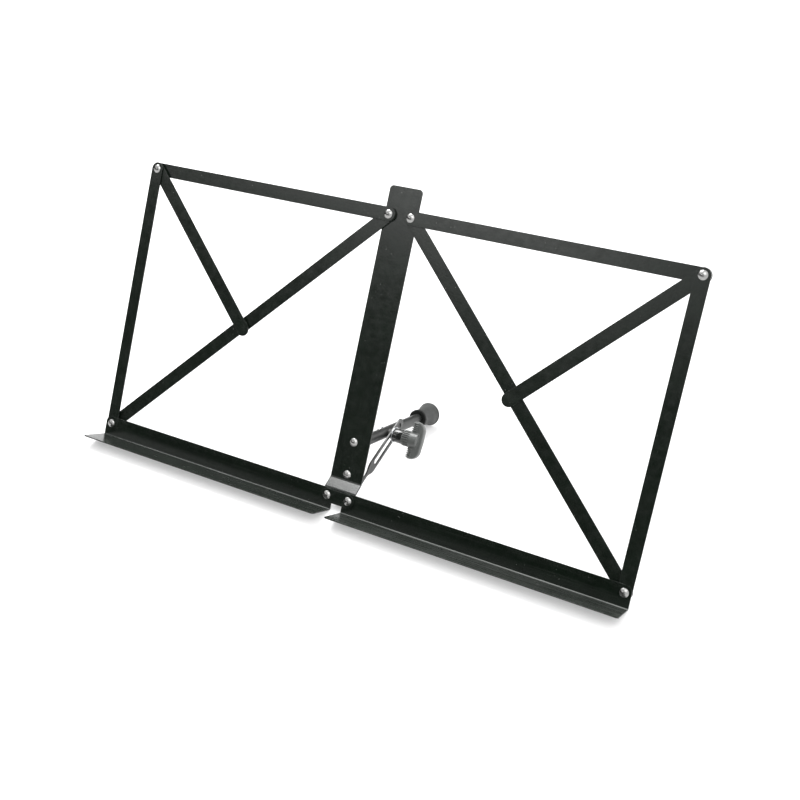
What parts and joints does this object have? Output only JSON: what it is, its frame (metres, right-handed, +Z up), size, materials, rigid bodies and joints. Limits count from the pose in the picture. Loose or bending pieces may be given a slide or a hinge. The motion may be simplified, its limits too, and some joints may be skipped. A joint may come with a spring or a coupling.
{
  "type": "music stand",
  "caption": "Table-top folding music stand: two folding wings with book ledges on a centre plate, held up by a tilting rear leg with a slotted strut and a clamp knob.",
  "frame": {"origin": "centre of the bounding box on the table's surface, below the middle of the stand", "axes": "+Z up, +X to the reader's right along the ledges, -Y towards the reader, +Y towards the rear foot"},
  "size_m": [0.523, 0.2056, 0.2546],
  "materials": {
    "black_paint": "semi-gloss black powder coat on steel",
    "rivet_steel": "polished nickel plate",
    "zinc_steel": "bright zinc plate",
    "foot_rubber": "matt moulded rubber",
    "knob_plastic": "moulded plastic, satin wings and a glossy collar",
    "spacer_plastic": "matt nylon",
    "insert_brass": "turned brass"
  },
  "bodies": {
    "base": {"center_plate": "black_paint", "link_strap": "black_paint", "left_top_inner_rivet": "rivet_steel", "right_top_inner_rivet": "rivet_steel", "left_ledge_inner_rivet": "rivet_steel", "right_ledge_inner_rivet": "rivet_steel", "leg_bracket": "black_paint", "bracket_rivets": "rivet_steel", "leg_pivot_pin": "rivet_steel", "strut_pivot_pin": "rivet_steel"},
    "leg": {"leg_tube": "black_paint", "rubber_foot": "foot_rubber", "clamp_bolt": "zinc_steel", "clamp_spacer": "spacer_plastic", "clamp_washer": "zinc_steel"},
    "strut": {"tilt_strut": "black_paint"},
    "knob": {"wing_knob": "knob_plastic", "knob_insert": "insert_brass"},
    "left_ledge_arm": {"left_ledge": "black_paint", "left_ledge_outer_rivet": "rivet_steel", "left_ledge_spacer": "spacer_plastic"},
    "left_top_arm": {"left_top_bar": "black_paint"},
    "left_upright_arm": {"left_upright": "black_paint", "left_top_outer_rivet": "rivet_steel", "left_top_spacer": "spacer_plastic"},
    "left_inner_arm": {"left_inner_brace": "black_paint", "left_middle_tail": "rivet_steel"},
    "left_outer_arm": {"left_outer_brace": "black_paint", "left_middle_eyelet": "rivet_steel", "left_middle_spacer": "spacer_plastic"},
    "left_stay_arm": {"left_stay": "black_paint"},
    "right_ledge_arm": {"right_ledge": "black_paint", "right_ledge_outer_rivet": "rivet_steel", "right_ledge_spacer": "spacer_plastic"},
    "right_top_arm": {"right_top_bar": "black_paint"},
    "right_upright_arm": {"right_upright": "black_paint", "right_top_outer_rivet": "rivet_steel", "right_top_spacer": "spacer_plastic"},
    "right_inner_arm": {"right_inner_brace": "black_paint", "right_middle_tail": "rivet_steel"},
    "right_outer_arm": {"right_outer_brace": "black_paint", "right_middle_eyelet": "rivet_steel", "right_middle_spacer": "spacer_plastic"},
    "right_stay_arm": {"right_stay": "black_paint"}
  },
  "joints": [
    {"name": "left_wing_fold", "type": "hinge", "parent": "base", "child": "left_ledge_arm", "pos_m": [-0.0105, -0.06369, 0.00802], "axis": [0, 0.9151, -0.4033], "range_deg": [0, 87]},
    {"name": "left_top_bar_turn", "type": "hinge", "parent": "base", "child": "left_top_arm", "pos_m": [-0.0105, 0.03512, 0.23222], "axis": [0, 0.9151, -0.4033], "range_deg": [0, 87]},
    {"name": "left_upright_turn", "type": "hinge", "parent": "left_ledge_arm", "child": "left_upright_arm", "pos_m": [-0.2555, -0.06369, 0.00802], "axis": [0, 0.9151, -0.4033], "range_deg": [-87, 0]},
    {"name": "left_inner_brace_turn", "type": "hinge", "parent": "base", "child": "left_inner_arm", "pos_m": [-0.0105, 0.03512, 0.23222], "axis": [0, 0.9151, -0.4033], "range_deg": [-45, 0]},
    {"name": "left_outer_brace_turn", "type": "hinge", "parent": "left_ledge_arm", "child": "left_outer_arm", "pos_m": [-0.2555, -0.06369, 0.00802], "axis": [0, 0.9151, -0.4033], "range_deg": [0, 45]},
    {"name": "left_stay_turn", "type": "hinge", "parent": "left_upright_arm", "child": "left_stay_arm", "pos_m": [-0.2555, 0.03512, 0.23222], "axis": [0, 0.9151, -0.4033], "range_deg": [0, 45]},
    {"name": "right_wing_fold", "type": "hinge", "parent": "base", "child": "right_ledge_arm", "pos_m": [0.0105, -0.06369, 0.00802], "axis": [0, -0.9151, 0.4033], "range_deg": [0, 87]},
    {"name": "right_top_bar_turn", "type": "hinge", "parent": "base", "child": "right_top_arm", "pos_m": [0.0105, 0.03512, 0.23222], "axis": [0, -0.9151, 0.4033], "range_deg": [0, 87]},
    {"name": "right_upright_turn", "type": "hinge", "parent": "right_ledge_arm", "child": "right_upright_arm", "pos_m": [0.2555, -0.06369, 0.00802], "axis": [0, -0.9151, 0.4033], "range_deg": [-87, 0]},
    {"name": "right_inner_brace_turn", "type": "hinge", "parent": "base", "child": "right_inner_arm", "pos_m": [0.0105, 0.03512, 0.23222], "axis": [0, -0.9151, 0.4033], "range_deg": [-45, 0]},
    {"name": "right_outer_brace_turn", "type": "hinge", "parent": "right_ledge_arm", "child": "right_outer_arm", "pos_m": [0.2555, -0.06369, 0.00802], "axis": [0, -0.9151, 0.4033], "range_deg": [0, 45]},
    {"name": "right_stay_turn", "type": "hinge", "parent": "right_upright_arm", "child": "right_stay_arm", "pos_m": [0.2555, 0.03512, 0.23222], "axis": [0, -0.9151, 0.4033], "range_deg": [0, 45]},
    {"name": "leg_tilt", "type": "hinge", "parent": "base", "child": "leg", "pos_m": [0, -0.03447, 0.04705], "axis": [1, 0, 0], "range_deg": [-53, 27]},
    {"name": "strut_turn", "type": "hinge", "parent": "base", "child": "strut", "pos_m": [0, -0.06369, 0.00802], "axis": [1, 0, 0], "range_deg": [-26.5, 13.5]},
    {"name": "knob_turn", "type": "hinge", "parent": "leg", "child": "knob", "pos_m": [0.02, 0.01259, 0.03428], "axis": [1, 0, 0], "continuous": true}
  ],
  "couplings": [
    {"joint": "left_top_bar_turn", "follows": "left_wing_fold", "ratio": 1},
    {"joint": "left_upright_turn", "follows": "left_wing_fold", "ratio": -1},
    {"joint": "left_inner_brace_turn", "follows": "left_wing_fold", "ratio": -0.5101},
    {"joint": "left_outer_brace_turn", "follows": "left_wing_fold", "ratio": 0.5101},
    {"joint": "left_stay_turn", "follows": "left_wing_fold", "ratio": 0.51723},
    {"joint": "right_top_bar_turn", "follows": "right_wing_fold", "ratio": 1},
    {"joint": "right_upright_turn", "follows": "right_wing_fold", "ratio": -1},
    {"joint": "right_inner_brace_turn", "follows": "right_wing_fold", "ratio": -0.5101},
    {"joint": "right_outer_brace_turn", "follows": "right_wing_fold", "ratio": 0.5101},
    {"joint": "right_stay_turn", "follows": "right_wing_fold", "ratio": 0.51723},
    {"joint": "strut_turn", "follows": "leg_tilt", "ratio": 0.5}
  ]
}
